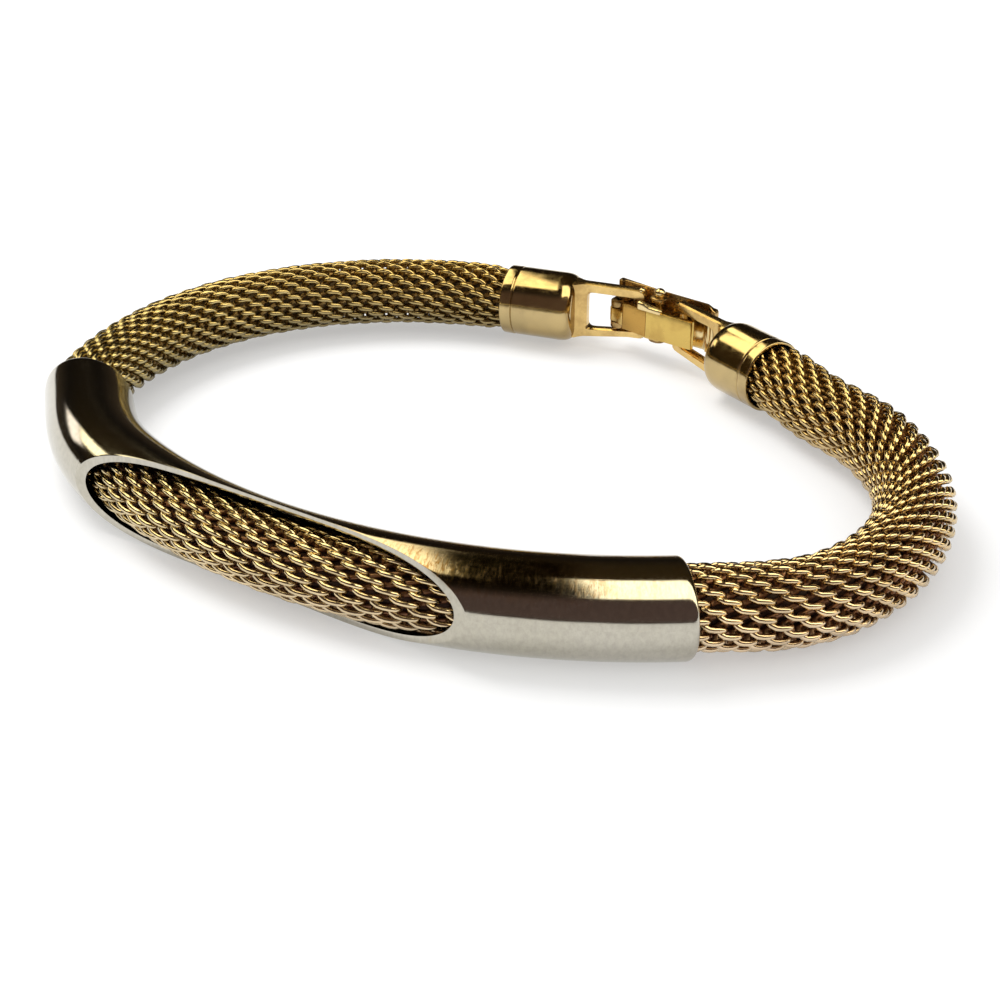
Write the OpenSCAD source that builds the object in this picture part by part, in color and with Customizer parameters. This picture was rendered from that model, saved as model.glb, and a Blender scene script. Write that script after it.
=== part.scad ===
// Tubular mesh bracelet with a windowed metal sleeve and a fold-over clasp.
// The closed loop lies on its side: +Z is up, the wrist goes through along Z.
// Its centre line is a chain of tangent arcs, read anticlockwise from end cap A
// along the back, down the left side, through the sleeve and up the right side
// to end cap B. Two radii are solved so that the clasp closes the loop.

/* [Mesh rope] */
// Outer diameter of the woven rope
mesh_d = 6; // [5:0.1:7]
// Radius of the left bend behind the sleeve
left_bend_r = 23.3; // [20:0.1:27]
// Radius of the short stretch between the left bend and the sleeve
left_corner_r = 15; // [12:0.1:19]
// Radius of the short stretch that comes out of the sleeve on the right
sleeve_exit_r = 41; // [30:1:55]
// Radius of the tight right bend
right_bend_r = 17; // [14:0.1:20]

/* [Sleeve] */
// Length of the sleeve along its centre line
sleeve_l = 62.1; // [58:0.1:70]
// Bare rope between the left corner's arc and the sleeve
sleeve_lead = 3.2; // [1:0.1:5]
// Thickness of the tube that the sleeve is made from
sleeve_wall = 0.4; // [0.3:0.05:0.6]
// Gap between the sleeve's bore and the rope
sleeve_gap = 0.2; // [0.1:0.05:0.4]
// Depth of the window, from the tube's outer side to the flat that was cut
window_depth = 4; // [2.8:0.1:4.2]
// Radius of the wheel that cut the window
wheel_r = 150; // [90:5:200]
// How far the window sits off the sleeve's middle, towards the right
window_shift = 0.2; // [-3:0.1:3]
// How far the window faces up, in degrees
window_tilt = 6.5; // [0:0.5:15]

/* [End caps] */
// Length of the round barrel
cap_l = 5.9; // [5:0.1:9]
// Radius of the rope's end, which is squeezed into the barrel
rope_end_r = 2.8; // [2.5:0.05:2.9]
// Wall of the barrel round the rope's end
cap_wall = 0.3; // [0.25:0.05:0.5]
// Gap between the barrel's bore and the rope
cap_gap = 0.06; // [0.04:0.01:0.1]
// Gap between the barrel's mouth and the full rope
mouth_gap = 0.1; // [0.06:0.01:0.2]
// Thickness of the barrel's closed end
cap_floor = 1.2; // [0.8:0.1:1.6]
// Rounding of the barrel's closed end
cap_round = 0.9; // [0.5:0.05:1.1]
// Rounding of the barrel's mouth
mouth_round = 0.14; // [0.05:0.01:0.14]
// Distance from the mouth to the fine groove that sets off its rim
groove_at = 1.1; // [0.8:0.1:1.6]
// Width of the groove
groove_w = 0.16; // [0.1:0.02:0.3]
// Depth of the groove
groove_depth = 0.1; // [0.05:0.01:0.14]

/* [Loops] */
// Height of the flat loop on each cap
loop_h = 5.4; // [4.6:0.1:6]
// Thickness of the loop
loop_t = 1; // [0.8:0.05:1.2]
// Solid neck between the barrel and the loop's hole
neck_l = 1.6; // [1.2:0.1:2.2]
// Length of the hole
hole_l = 4.5; // [4.2:0.1:5]
// Height of the hole
hole_h = 3.7; // [3.2:0.1:3.8]
// Width of the bar that closes the loop
bar_w = 1; // [0.8:0.05:1.2]

/* [Clasp] */
// Distance between the two loops' bars
bar_pitch = 4.5; // [4.4:0.1:5.2]
// Length of the outer plate
cover_l = 9.3; // [8.8:0.1:10.4]
// Height of the outer plate
cover_h = 5.6; // [5.2:0.1:6.4]
// Thickness of the outer plate
cover_t = 0.6; // [0.4:0.05:0.8]
// Height of the lever
lever_h = 2.6; // [2.5:0.1:3]
// Thickness of the lever
lever_t = 0.55; // [0.4:0.05:0.7]
// How far the lever reaches past bar B
lever_reach = 2.5; // [1.6:0.1:2.6]
// Fold of the lever, from the clasp's middle towards bar A
fold_x = 0.1; // [-0.5:0.1:1]
// How far the lever rises from its hinge end to the fold
fold_rise = 0.35; // [0.1:0.05:0.5]
// Thickness of the lever's side tabs
tab_t = 0.45; // [0.3:0.05:0.6]
// Gap between the plates and the loops' bars
play = 0.15; // [0.1:0.05:0.25]
// Diameter of the hinge pin
pin_d = 0.7; // [0.5:0.05:0.8]
// Wall of the knuckles round the pin
knuckle_wall = 0.32; // [0.25:0.01:0.36]
// Running gap of the hinge, all round the pin and beside each knuckle
pin_gap = 0.05; // [0.04:0.01:0.08]
// Thickness of the outer plate's knuckles
lug_t = 0.6; // [0.5:0.05:0.65]
// Diameter of the catch pin
catch_d = 0.7; // [0.5:0.05:0.8]
// Thickness of the ears that hold the catch pin
ear_t = 0.5; // [0.4:0.05:0.6]
// Metal of an ear on either side of the catch pin
ear_margin = 0.45; // [0.3:0.05:0.6]
// Catch pin's distance from the middle, towards bar B
catch_shift = 0.2; // [0:0.05:0.4]
// Catch pin's distance from the bars' plane, towards the outer plate
catch_sink = 0.1; // [0:0.05:0.2]

/* [Hidden] */
$fn = 72;
wheel_facets = 360;
eps = 0.05;
// Where two arcs meet, one is thinner by a hair and reaches into the other
hair = 0.01;
lap = 0.3;

mesh_r = mesh_d / 2;
bore_r = mesh_r + sleeve_gap;
sleeve_r = bore_r + sleeve_wall;
cap_bore_r = rope_end_r + cap_gap;
cap_r = cap_bore_r + cap_wall;
// The sleeve is the fattest piece, so it touches the surface
axis_z = sleeve_r;

// Share of the sleeve's stretch that bends round the left side
side_share = 0.275;
stretch_l = sleeve_lead + sleeve_l;
front_l = stretch_l * (1 - side_share);
// Heading in which the rope leaves cap A
start_heading = 160;
// Arcs of the centre line from cap A to cap B, each with its turn in degrees
arcs = [["back", 38.5], ["left bend", 50], ["left corner", 16.5],
        ["sleeve side", 41.4], ["sleeve front", 57], ["sleeve exit", 5.2],
        ["right bend", 95.6], ["right side", 21]];
turns = [for (arc = arcs) arc[1]];
function row(name) = search([name], arcs)[0];

function total(v, n) = n < 1 ? 0 : v[n - 1] + total(v, n - 1);
function heading(i) = start_heading + total(turns, i);
function along(h) = [cos(h), sin(h)];
// Left of a heading, which is the inside of the loop
function inward(h) = [-sin(h), cos(h)];
// Way from the start to the end of an arc with radius 1
function chord(i) = inward(heading(i)) - inward(heading(i + 1));
function arc_radius(len, turn) = len * 180 / (PI * turn);

// Each loop turns by half of what the arcs leave of a full circle
clasp_turn = (360 - total(turns, len(turns))) / 2;
clasp_heading = heading(len(turns)) + clasp_turn;
// From the barrel's mouth to the middle of the loop's bar
cap_run = cap_l + neck_l + hole_l + bar_w / 2;
clasp_way = cap_run * along(heading(len(turns))) + bar_pitch * along(clasp_heading)
          + cap_run * along(start_heading);

set_radii = [0, left_bend_r, left_corner_r,
             arc_radius(stretch_l * side_share, turns[row("sleeve side")]),
             arc_radius(front_l, turns[row("sleeve front")]),
             sleeve_exit_r, right_bend_r, 0];
function set_way(i) = i >= len(turns) ? [0, 0] : set_radii[i] * chord(i) + set_way(i + 1);
// The back's and the right side's radii close the loop (Cramer's rule)
open_way = -(clasp_way + set_way(0));
back_chord = chord(0);
side_chord = chord(len(turns) - 1);
det = back_chord.x * side_chord.y - back_chord.y * side_chord.x;
back_r = (open_way.x * side_chord.y - open_way.y * side_chord.x) / det;
side_r = (back_chord.x * open_way.y - back_chord.y * open_way.x) / det;
radii = [for (i = [0:len(turns) - 1])
         i == 0 ? back_r : i == len(turns) - 1 ? side_r : set_radii[i]];

function from_cap_a(i) = i < 1 ? [0, 0] : from_cap_a(i - 1) + radii[i - 1] * chord(i - 1);
function raw_centre(i) = from_cap_a(i) + radii[i] * inward(heading(i));
// The loop is centred on its box: each side is the outermost point of one arc
function reach(name) = radii[row(name)];
left_x = raw_centre(row("sleeve side")).x - reach("sleeve side") - sleeve_r;
front_y = raw_centre(row("sleeve front")).y - reach("sleeve front") - sleeve_r;
right_x = raw_centre(row("right bend")).x + reach("right bend") + mesh_r;
back_y = raw_centre(row("back")).y + reach("back") + mesh_r;
middle = [left_x + right_x, front_y + back_y] / 2;
function arc_centre(i) = raw_centre(i) - middle;
function arc_start(i) = from_cap_a(i) - middle;

// Bars' distance from the clasp's middle, and how far a tilted bar stands out
bar_x = bar_pitch / 2;
bar_out = loop_t / 2 * cos(clasp_turn) + bar_w / 2 * sin(clasp_turn);
plate_y = bar_out + play;
lever_y = plate_y + lever_t;
// The hinge lies in loop A's hole, past the bar. The lever's plate ends at a
// shoulder beside the knuckles.
knuckle_r = pin_d / 2 + pin_gap + knuckle_wall;
pin_x = bar_x + bar_out + knuckle_r + 2 * play;
pin_y = lever_y - knuckle_r - lever_t / 2 - play;
shoulder_x = pin_x - knuckle_r - 2 * play;
// The catch pin lies between the bars. Its upper ear is flush with the outer
// plate, the lower one just clears the lever.
catch_x = -catch_shift;
catch_y = -catch_sink;
ear_w = catch_d + 2 * ear_margin;
upper_ear_z = cover_h / 2 - ear_t;
lower_ear_z = -lever_h / 2 - 2 * pin_gap - ear_t;
lug_z = lever_h / 2 - lug_t;

// A round bar, or with a bore a tube, along one arc of the centre line. Every
// second arc is a hair thinner, and it ends inside its neighbours.
module arc_tube(i, r, bore = 0, before = 0, after = 0) {
    thinner = i % 2 == 0 ? 0 : hair;
    degrees = 180 / (PI * radii[i]);
    translate([arc_centre(i).x, arc_centre(i).y, axis_z])
        rotate([0, 0, heading(i) - 90 - before * degrees])
            rotate_extrude(angle = turns[i] + (before + after) * degrees)
                translate([radii[i], 0])
                    difference() {
                        circle(r - thinner);
                        if (bore > 0) circle(bore + thinner);
                    }
}

// Draws its children at a point of the centre line, with +X along the heading
module place(p, h) {
    translate([p.x, p.y, axis_z]) rotate([0, 0, h]) children();
}

// Draws its children in the clasp's frame: +X runs from bar B to bar A and
// +Y to the wrist
module place_clasp() {
    bar_b = arc_start(len(turns)) + cap_run * along(heading(len(turns)));
    place(bar_b + bar_x * along(clasp_heading), clasp_heading) children();
}

// The squeezed end of the rope, mouth at X = 0
module rope_end() {
    tail = cap_l - cap_floor - cap_gap;
    translate([-lap, 0, 0]) rotate([0, 90, 0]) cylinder(r = rope_end_r, h = tail + lap);
}

module mesh_rope() {
    last = len(turns) - 1;
    color([0.62, 0.5, 0.28]) {
        for (i = [0:last]) {
            overlap = i % 2 == 0 ? 0 : lap;
            arc_tube(i, mesh_r, before = i == 0 ? -mouth_gap : overlap,
                     after = i == last ? -mouth_gap : overlap);
        }
        place(arc_start(0), start_heading + 180) rope_end();
        place(arc_start(len(turns)), heading(len(turns))) rope_end();
    }
}

// The wheel stands off the sleeve's outer side, over the window's middle
module window_wheel() {
    to_middle = front_l - sleeve_l / 2 + window_shift;
    front = row("sleeve front");
    h = heading(front) + turns[front] * to_middle / front_l;
    centre = arc_centre(front);
    translate([centre.x, centre.y, axis_z])
        rotate([0, 0, h - 90])
            translate([radii[front], 0, 0])
                rotate([0, -window_tilt, 0])
                    translate([sleeve_r - window_depth + wheel_r, 0, 0])
                        cylinder(r = wheel_r, h = 4 * sleeve_r, center = true, $fn = wheel_facets);
}

module sleeve() {
    color([0.8, 0.76, 0.66])
        difference() {
            union() {
                arc_tube(row("sleeve side"), sleeve_r, bore_r,
                         before = -sleeve_lead, after = lap);
                arc_tube(row("sleeve front"), sleeve_r, bore_r);
            }
            window_wheel();
        }
}

// Half section of the barrel, with its closed end and its mouth rounded
module barrel_section() {
    difference() {
        union() {
            square([cap_r - cap_round, cap_l]);
            translate([0, mouth_round]) square([cap_r, cap_l - cap_round - mouth_round]);
            square([cap_r - mouth_round, cap_l - cap_round]);
            translate([cap_r - cap_round, cap_l - cap_round]) circle(cap_round);
            translate([cap_r - mouth_round, mouth_round]) circle(mouth_round);
        }
        translate([cap_r - groove_depth, groove_at - groove_w / 2])
            square([2 * groove_depth, groove_w]);
    }
}

// Mouth at X = 0, loop towards +X
module end_cap() {
    neck_root = cap_l - cap_floor / 2;
    color([0.83, 0.68, 0.36])
        difference() {
            union() {
                rotate([0, 90, 0]) rotate_extrude() barrel_section();
                translate([neck_root, -loop_t / 2, -loop_h / 2])
                    cube([cap_run + bar_w / 2 - neck_root, loop_t, loop_h]);
            }
            translate([-eps, 0, 0]) rotate([0, 90, 0])
                cylinder(r = cap_bore_r, h = cap_l - cap_floor + eps);
            translate([cap_l + neck_l, -loop_t, -hole_h / 2])
                cube([hole_l, 2 * loop_t, hole_h]);
        }
}

module end_cap_a() {
    place(arc_start(0), start_heading + 180) end_cap();
}

module end_cap_b() {
    place(arc_start(len(turns)), heading(len(turns))) end_cap();
}

// A plate's outline in the clasp's frame, drawn out to height h from height z
module slab(z, h) {
    translate([0, 0, z]) linear_extrude(h) children();
}

module lug() {
    difference() {
        union() {
            translate([pin_x, pin_y]) circle(knuckle_r);
            translate([pin_x - knuckle_r, -plate_y - eps])
                square([2 * knuckle_r, pin_y + plate_y + eps]);
        }
        translate([pin_x, pin_y]) circle(pin_d / 2 + pin_gap);
    }
}

module ear() {
    difference() {
        union() {
            translate([catch_x, catch_y]) circle(ear_w / 2);
            translate([catch_x - ear_w / 2, -plate_y - eps])
                square([ear_w, catch_y + plate_y + eps]);
        }
        translate([catch_x, catch_y]) circle(catch_d / 2 + pin_gap);
    }
}

module clasp_cover() {
    color([0.72, 0.56, 0.26])
        place_clasp() {
            translate([-cover_l / 2, -plate_y - cover_t, -cover_h / 2])
                cube([cover_l, cover_t, cover_h]);
            slab(lug_z, lug_t) lug();
            slab(-lug_z - lug_t, lug_t) lug();
            slab(upper_ear_z, ear_t) ear();
            slab(lower_ear_z, ear_t) ear();
        }
}

module hinge_pin() {
    color([0.75, 0.6, 0.3])
        place_clasp()
            translate([pin_x, pin_y, 0])
                cylinder(d = pin_d, h = lever_h, center = true);
}

// Stands out of the upper ear with a round head
module catch_pin() {
    color([0.85, 0.72, 0.42])
        place_clasp()
            translate([catch_x, catch_y, 0]) {
                translate([0, 0, lower_ear_z])
                    cylinder(d = catch_d, h = cover_h / 2 - lower_ear_z);
                translate([0, 0, cover_h / 2]) sphere(d = catch_d);
            }
}

// Side tab of the lever, with the notch that snaps over the catch pin
module tab() {
    notch_r = catch_d / 2 + 2 * pin_gap;
    tab_end = bar_x - bar_out - 2 * play;
    tab_start = catch_x - ear_w / 2;
    difference() {
        translate([tab_start, catch_y - catch_d / 2])
            square([tab_end - tab_start,
                    plate_y + fold_rise + eps - catch_y + catch_d / 2]);
        translate([catch_x, catch_y]) circle(notch_r);
        translate([catch_x - notch_r, catch_y - catch_d])
            square([2 * notch_r, catch_d]);
    }
}

// Rises from the shoulder to the fold, then runs level to its tip
module lever_plate() {
    tip = -bar_x - lever_reach;
    polygon([[shoulder_x, plate_y], [shoulder_x, lever_y],
             [fold_x, lever_y + fold_rise], [tip, lever_y + fold_rise],
             [tip, plate_y + fold_rise], [fold_x, plate_y + fold_rise]]);
}

module lever_knuckle() {
    difference() {
        union() {
            translate([pin_x, pin_y]) circle(knuckle_r);
            polygon([[shoulder_x - eps, plate_y + eps], [shoulder_x - eps, lever_y],
                     [pin_x, pin_y + knuckle_r], [pin_x - knuckle_r, pin_y]]);
        }
        translate([pin_x, pin_y]) circle(pin_d / 2 + pin_gap);
    }
}

module clasp_lever() {
    knuckle_h = 2 * (lug_z - pin_gap);
    color([0.9, 0.74, 0.4])
        place_clasp() {
            slab(-lever_h / 2, lever_h) lever_plate();
            slab(-knuckle_h / 2, knuckle_h) lever_knuckle();
            slab(lever_h / 2 - tab_t, tab_t) tab();
            slab(-lever_h / 2, tab_t) tab();
        }
}

mesh_rope();
sleeve();
end_cap_a();
end_cap_b();
clasp_cover();
hinge_pin();
catch_pin();
clasp_lever();
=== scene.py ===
# %% [markdown]
# # A tubular mesh bracelet with a windowed sleeve
#
# The real bracelet is a rope of woven gold wire, about 6 mm thick, that runs
# through a bent metal sleeve. A window ground into the sleeve's outer side
# shows the weave. Two turned end caps hold the rope's ends, and a fold-over
# clasp joins their loops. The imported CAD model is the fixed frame: every piece
# below is laid on it, in metres.

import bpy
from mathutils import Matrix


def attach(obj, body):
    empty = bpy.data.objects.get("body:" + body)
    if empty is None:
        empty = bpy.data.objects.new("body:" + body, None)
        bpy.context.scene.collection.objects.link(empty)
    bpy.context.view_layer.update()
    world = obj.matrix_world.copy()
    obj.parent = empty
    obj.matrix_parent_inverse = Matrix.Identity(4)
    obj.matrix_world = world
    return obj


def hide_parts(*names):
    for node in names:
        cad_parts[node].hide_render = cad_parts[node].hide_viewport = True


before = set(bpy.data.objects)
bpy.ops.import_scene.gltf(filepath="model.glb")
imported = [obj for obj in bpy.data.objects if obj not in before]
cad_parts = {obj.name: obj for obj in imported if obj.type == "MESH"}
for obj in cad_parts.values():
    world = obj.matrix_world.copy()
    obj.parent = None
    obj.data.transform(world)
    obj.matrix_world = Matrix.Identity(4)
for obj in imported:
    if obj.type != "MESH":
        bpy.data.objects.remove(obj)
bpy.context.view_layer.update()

# %% Tools used throughout
import math

import bpy
import numpy as np
from mathutils import Vector

MM = 0.001
DEG = math.pi / 180


def deselect():
    bpy.ops.object.select_all(action="DESELECT")


def pick(*objects):
    """Selects these objects alone, the first one active."""
    deselect()
    for o in objects:
        o.select_set(True)
    bpy.context.view_layer.objects.active = objects[0]
    return objects[0]


def added(name):
    """Names the object that an operator has just added."""
    o = bpy.context.active_object
    o.name = name
    o.data.name = name
    return o


def apply_place(o):
    pick(o)
    bpy.ops.object.transform_apply(location=True, rotation=True, scale=True)


def points(o):
    """The mesh's vertices as an array of rows."""
    flat = np.empty(3 * len(o.data.vertices))
    o.data.vertices.foreach_get("co", flat)
    return flat.reshape(-1, 3)


def put_points(o, rows):
    o.data.vertices.foreach_set("co", np.ascontiguousarray(rows).ravel())
    o.data.update()


def report(o):
    tris = sum(len(p.vertices) - 2 for p in o.data.polygons)
    print(f"{o.name}: {len(o.data.vertices)} vertices, {tris} triangles")


# %% [markdown]
# ## The centre line
#
# Everything but the clasp follows one line through the middle of the rope: eight
# arcs that meet without a kink, read anticlockwise from the mouth of end cap A.
# The same arcs shaped the CAD model. Pieces are made straight, along X, and then
# laid on this line. A Curve modifier could bend them too, but the arcs give
# each point its exact place.
#
# The real rope gives a little between its stiff parts. It kinks where it enters
# the sleeve, and on the right it sags and bulges by less than half a millimetre.
# Small shifts on top of the arcs show this.

# %% The arcs of the centre line
AXIS_Z = 3.6 * MM
START = (2.38002 * MM, 26.3227 * MM)
START_HEADING = 160 * DEG
ARCS = [  # radius in mm, turn in degrees
    (28.4824, 38.5),
    (23.3, 50),
    (15, 16.5),
    (24.8524, 41.4),
    (47.5882, 57),
    (41, 5.2),
    (17, 95.6),
    (45.5681, 21),
]


def arc_table():
    """Rows of start length, heading, centre x, centre y and radius."""
    rows, s, h, (x, y) = [], 0.0, START_HEADING, START
    for radius, turn in ARCS:
        r, a = radius * MM, turn * DEG
        cx, cy = x - r * math.sin(h), y + r * math.cos(h)
        rows.append((s, h, cx, cy, r))
        s, h = s + r * a, h + a
        x, y = cx + r * math.sin(h), cy - r * math.cos(h)
    return np.array(rows), s


LINE, LINE_LENGTH = arc_table()
# The sleeve runs from inside the fourth arc to the start of the sixth
SLEEVE_START, SLEEVE_END = LINE[3][0] + 3.4 * MM, LINE[5][0] + 0.05 * MM
print(f"centre line {LINE_LENGTH / MM:.1f} mm, sleeve "
      f"{SLEEVE_START / MM:.1f} to {SLEEVE_END / MM:.1f} mm")

# %% Laying pieces on the line
KINK, KINK_AT, KINK_L = 0.6 * MM, 45.5 * MM, 3.5 * MM  # outwards, place, length
DRIFT = np.array([  # place along the line, shift outwards, shift down, all in mm
    (109.3, 0, 0), (120, 0.42, 0.36), (128, 0.38, 0.30), (138, 0.38, 0.05),
    (144, 0.45, 0), (152, -0.25, 0.2), (157, 0, 0)])


def drift(s, column):
    """The table's column at these places, with a smooth step from row to row."""
    place = np.clip(s / MM, DRIFT[0, 0], DRIFT[-1, 0] - 1e-6)
    k = np.searchsorted(DRIFT[:, 0], place, side="right") - 1
    share = (place - DRIFT[k, 0]) / (DRIFT[k + 1, 0] - DRIFT[k, 0])
    share = share * share * (3 - 2 * share)
    return (DRIFT[k, column] + share * (DRIFT[k + 1, column] - DRIFT[k, column])) * MM


def lay(rows):
    """Moves rows of (along, inward, up) from a straight rope onto the line."""
    s, side, up = rows[:, 0], rows[:, 1], rows[:, 2]
    k = np.clip(np.searchsorted(LINE[:, 0], s, side="right") - 1, 0, len(LINE) - 1)
    s0, h0, cx, cy, r = LINE[k].T
    side = side - KINK * np.exp(-(((s - KINK_AT) / KINK_L) ** 2))
    side, up = side - drift(s, 1), up - drift(s, 2)
    inside = np.clip(s, 0, LINE_LENGTH)
    h = h0 + (inside - s0) / r
    past = s - inside
    reach = r - side
    return np.stack([cx + reach * np.sin(h) + past * np.cos(h),
                     cy - reach * np.cos(h) + past * np.sin(h),
                     AXIS_Z + up], axis=1)


# %% [markdown]
# ## The camera
#
# The photograph looks down at about 29 degrees, from a little over a hand's
# length away, so near parts look clearly larger than far ones. The distance and
# the lens were worked out from the known sizes of the loop.

# %% Camera
TARGET = Vector((1.833, -12.404, 3.6)) * MM
EYE = Vector((1.833, -130.65, 69.15)) * MM
LENS_MM = 65.53

deselect()
bpy.ops.object.camera_add(location=EYE)
camera = bpy.context.active_object
camera.rotation_euler = (TARGET - EYE).to_track_quat("-Z", "Y").to_euler()
camera.data.lens = LENS_MM
camera.data.sensor_width = 36
camera.data.clip_start = 0.005
bpy.context.scene.camera = camera
print("camera", [round(v / MM, 1) for v in camera.location])

# %% [markdown]
# ## Materials
#
# Polished metal has hardly any colour of its own: it shows what is around it,
# tinted. So each finish is a metallic Principled shader whose tint, roughness
# and fine bump vary the way wear and tarnish do.

# %% Node helpers


def new_material(name):
    m = bpy.data.materials.new(name)
    m.use_nodes = True
    shader = m.node_tree.nodes["Principled BSDF"]
    shader.inputs["Metallic"].default_value = 1.0
    return m, m.node_tree, shader


def noise(tree, source, scale, detail=4.0, roughness=0.55, stretch=(1, 1, 1)):
    """Noise on the given coordinates, which a Mapping node may stretch."""
    mapping = tree.nodes.new("ShaderNodeMapping")
    mapping.inputs["Scale"].default_value = stretch
    tree.links.new(source, mapping.inputs["Vector"])
    n = tree.nodes.new("ShaderNodeTexNoise")
    n.inputs["Scale"].default_value = scale
    n.inputs["Detail"].default_value = detail
    n.inputs["Roughness"].default_value = roughness
    tree.links.new(mapping.outputs["Vector"], n.inputs["Vector"])
    return n.outputs["Fac"]


def ramp(tree, source, stops):
    """Colour ramp: stops are (place, colour or grey)."""
    node = tree.nodes.new("ShaderNodeValToRGB")
    while len(node.color_ramp.elements) < len(stops):
        node.color_ramp.elements.new(0.5)
    for e, (place, colour) in zip(node.color_ramp.elements, stops):
        e.position = place
        grey = isinstance(colour, (int, float))
        e.color = (colour, colour, colour, 1) if grey else (*colour, 1)
    tree.links.new(source, node.inputs["Fac"])
    return node.outputs["Color"]


def mixed(tree, fac, a, b, mode="MIX"):
    """Mix of two colours, each a socket or a triple."""
    node = tree.nodes.new("ShaderNodeMixRGB")
    node.blend_type = mode
    for socket, value in zip(node.inputs, (fac, a, b)):
        if isinstance(value, bpy.types.NodeSocket):
            tree.links.new(value, socket)
        elif isinstance(value, (int, float)):
            socket.default_value = value
        else:
            socket.default_value = (*value, 1)
    return node.outputs["Color"]


def times(tree, a, b):
    return mixed(tree, 1.0, a, b, "MULTIPLY")


def stored(tree, name):
    """A value that the mesh keeps in its points."""
    node = tree.nodes.new("ShaderNodeAttribute")
    node.attribute_name = name
    return node.outputs["Fac"]


def split(tree, source):
    """The X, Y and Z of a vector."""
    node = tree.nodes.new("ShaderNodeSeparateXYZ")
    tree.links.new(source, node.inputs[0])
    return node.outputs


def rising(tree, source, low, high, curve="LINEAR"):
    """Rises from 0 at low to 1 at high."""
    node = tree.nodes.new("ShaderNodeMapRange")
    node.interpolation_type = curve
    node.inputs["From Min"].default_value = low
    node.inputs["From Max"].default_value = high
    tree.links.new(source, node.inputs["Value"])
    return node.outputs["Result"]


BUMP_DEPTH = 0.02 * MM


def bumped(tree, shader, height, strength):
    node = tree.nodes.new("ShaderNodeBump")
    node.inputs["Strength"].default_value = strength
    node.inputs["Distance"].default_value = BUMP_DEPTH
    tree.links.new(height, node.inputs["Height"])
    tree.links.new(node.outputs["Normal"], shader.inputs["Normal"])


def finish(tree, shader, colour, roughness):
    tree.links.new(colour, shader.inputs["Base Color"])
    tree.links.new(roughness, shader.inputs["Roughness"])


def object_place(tree):
    return tree.nodes.new("ShaderNodeTexCoord").outputs["Object"]


# %% [markdown]
# ### Gold wire
#
# The wire is yellow gold plate. Where it dives between its neighbours it is
# worn less and holds grime, and it turns dark brown, partly with that grime and
# partly with painted shade. The weave stores in each point how far it stands
# proud of the rope and how far along it lies, and the finish reads these two, and
# the height: low places get painted shade, high ones are painted lighter.
# An image texture could hold the colours, but a few numbers are easier to change.

# %% Gold wire finish
# Colours by the share of the way from cap A to cap B: above, painted lighter;
# below, with painted shade; and deep between the wires, grime with painted shade.
# Then how rough the proud places are
WIRE_LIT_ABOVE = [
    (0.0, (0.66, 0.49, 0.20)), (0.28, (0.58, 0.47, 0.22)), (0.40, (0.80, 0.67, 0.38)),
    (0.74, (0.80, 0.62, 0.38)), (0.88, (0.80, 0.61, 0.31)), (1.0, (0.78, 0.57, 0.24))]
WIRE_SHADED_BELOW = [
    (0.0, (0.34, 0.26, 0.12)), (0.28, (0.29, 0.24, 0.125)), (0.40, (0.78, 0.63, 0.38)),
    (0.74, (0.80, 0.62, 0.42)), (0.88, (0.66, 0.49, 0.28)), (1.0, (0.50, 0.36, 0.16))]
WIRE_DEEP_GRIME_AND_SHADE = [
    (0.0, (0.42, 0.27, 0.10)), (0.26, (0.38, 0.25, 0.10)), (0.34, (0.28, 0.13, 0.07)),
    (0.88, (0.28, 0.13, 0.07)), (0.95, (0.42, 0.26, 0.10))]
PROUD_ROUGHNESS = [(0.26, 0.24), (0.34, 0.15), (0.88, 0.15), (0.95, 0.22)]
DEEP_ROUGHNESS = (0.5, 0.5, 0.5)
BELOW, ABOVE = 1.5 * MM, 5.5 * MM  # heights between which the colours cross


def gold_wire():
    m, tree, shader = new_material("gold_wire")
    proud, along = stored(tree, "proud"), stored(tree, "along")
    place = object_place(tree)
    # Painted light and shade by height: darker colours below, lighter and yellower ones
    # above
    upper = rising(tree, split(tree, place)["Z"], BELOW, ABOVE)
    tint = mixed(tree, upper, ramp(tree, along, WIRE_SHADED_BELOW),
                 ramp(tree, along, WIRE_LIT_ABOVE))
    patches = ramp(tree, noise(tree, place, 420), [(0.35, 0.72), (0.65, 1.0)])
    # Grime with painted shade: the deeper a point lies between the wires, the darker it
    # is
    depth = ramp(tree, proud, [(0.15, 0.0), (0.85, 1.0)])
    colour = mixed(tree, depth, ramp(tree, along, WIRE_DEEP_GRIME_AND_SHADE),
                   times(tree, tint, patches))
    rough = mixed(tree, depth, DEEP_ROUGHNESS, ramp(tree, along, PROUD_ROUGHNESS))
    finish(tree, shader, colour, rough)
    bumped(tree, shader, noise(tree, place, 6000, detail=2), 0.15)
    return m


# The core's colour is painted shade inside the rope, with some grime; it is painted
# paler towards the back, as if more light reached in there
CORE_SHADE_FRONT, CORE_SHADE_BACK = (0.06, 0.024, 0.012), (0.15, 0.095, 0.035)
FRONT, BACK = -2 * MM, 13 * MM  # between these places in Y it gets paler


def core_shade_and_grime():
    m, tree, shader = new_material("core_shade_and_grime")
    place = object_place(tree)
    worn = ramp(tree, noise(tree, place, 900), [(0.3, 0.35), (0.7, 1.0)])
    back = rising(tree, split(tree, place)["Y"], FRONT, BACK)
    shade = mixed(tree, back, CORE_SHADE_FRONT, CORE_SHADE_BACK)
    tree.links.new(times(tree, shade, worn), shader.inputs["Base Color"])
    shader.inputs["Metallic"].default_value = 0.6
    shader.inputs["Roughness"].default_value = 0.6
    return m


GOLD_WIRE, CORE_SHADE_AND_GRIME = gold_wire(), core_shade_and_grime()
print("materials:", GOLD_WIRE.name, CORE_SHADE_AND_GRIME.name)

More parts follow.
